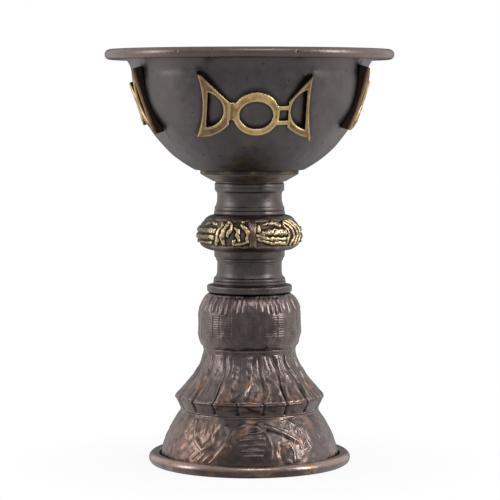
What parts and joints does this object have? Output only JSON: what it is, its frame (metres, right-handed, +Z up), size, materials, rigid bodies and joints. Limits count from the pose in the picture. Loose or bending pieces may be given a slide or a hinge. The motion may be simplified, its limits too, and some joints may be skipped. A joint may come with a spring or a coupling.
{
  "type": "stemmed offering cup",
  "caption": "Stemmed metal offering cup: a round bowl with a rolled rim and triple-moon badges, on a turned stem with a relief knop and a hollow flared foot.",
  "frame": {"origin": "centre of the circle that the foot stands on", "axes": "+Z up the axis of the cup, -Y towards the front badge, +X to the right seen from the front"},
  "size_m": [0.0834, 0.0834, 0.12],
  "materials": {
    "dark_copper": "copper, oxidised dark brown and rubbed, semi-gloss",
    "raised_copper": "copper, oxidised dark, with bright worn high spots",
    "badge_brass": "cast brass, antiqued, with polished edges",
    "knop_brass": "cast brass relief, polished high spots, black recesses",
    "fastener_brass": "dull brass",
    "steel": "zinc-plated steel"
  },
  "bodies": {
    "stand": {"stem_upper": "dark_copper", "knop": "knop_brass", "stem_lower": "dark_copper", "foot_collar": "dark_copper", "foot_bulb": "raised_copper", "foot_skirt": "raised_copper", "foot_base": "raised_copper", "foot_rim_wire": "raised_copper", "tie_rod": "steel", "backing_disc": "fastener_brass", "tie_washer": "steel", "tie_nut": "steel"},
    "joint_washer": {"seat_washer": "dark_copper"},
    "bowl_set": {"bowl": "dark_copper", "rim_wire": "dark_copper", "bowl_collar": "dark_copper", "bowl_screw": "fastener_brass", "bowl_screw_washer": "fastener_brass", "badge_front": "badge_brass", "badge_right": "badge_brass", "badge_back": "badge_brass", "badge_left": "badge_brass"}
  },
  "joints": [
    {"name": "bowl_lift", "type": "slide", "parent": "stand", "child": "joint_washer", "axis": [0, 0, 1], "range_m": [0, 0.0059]},
    {"name": "bowl_unscrew", "type": "hinge", "parent": "joint_washer", "child": "bowl_set", "pos_m": [0, 0, 0.0819], "axis": [0, 0, 1], "range_deg": [0, 2100]}
  ],
  "couplings": [
    {"joint": "bowl_lift", "follows": "bowl_unscrew", "m_per_rad": 0.00015915}
  ]
}
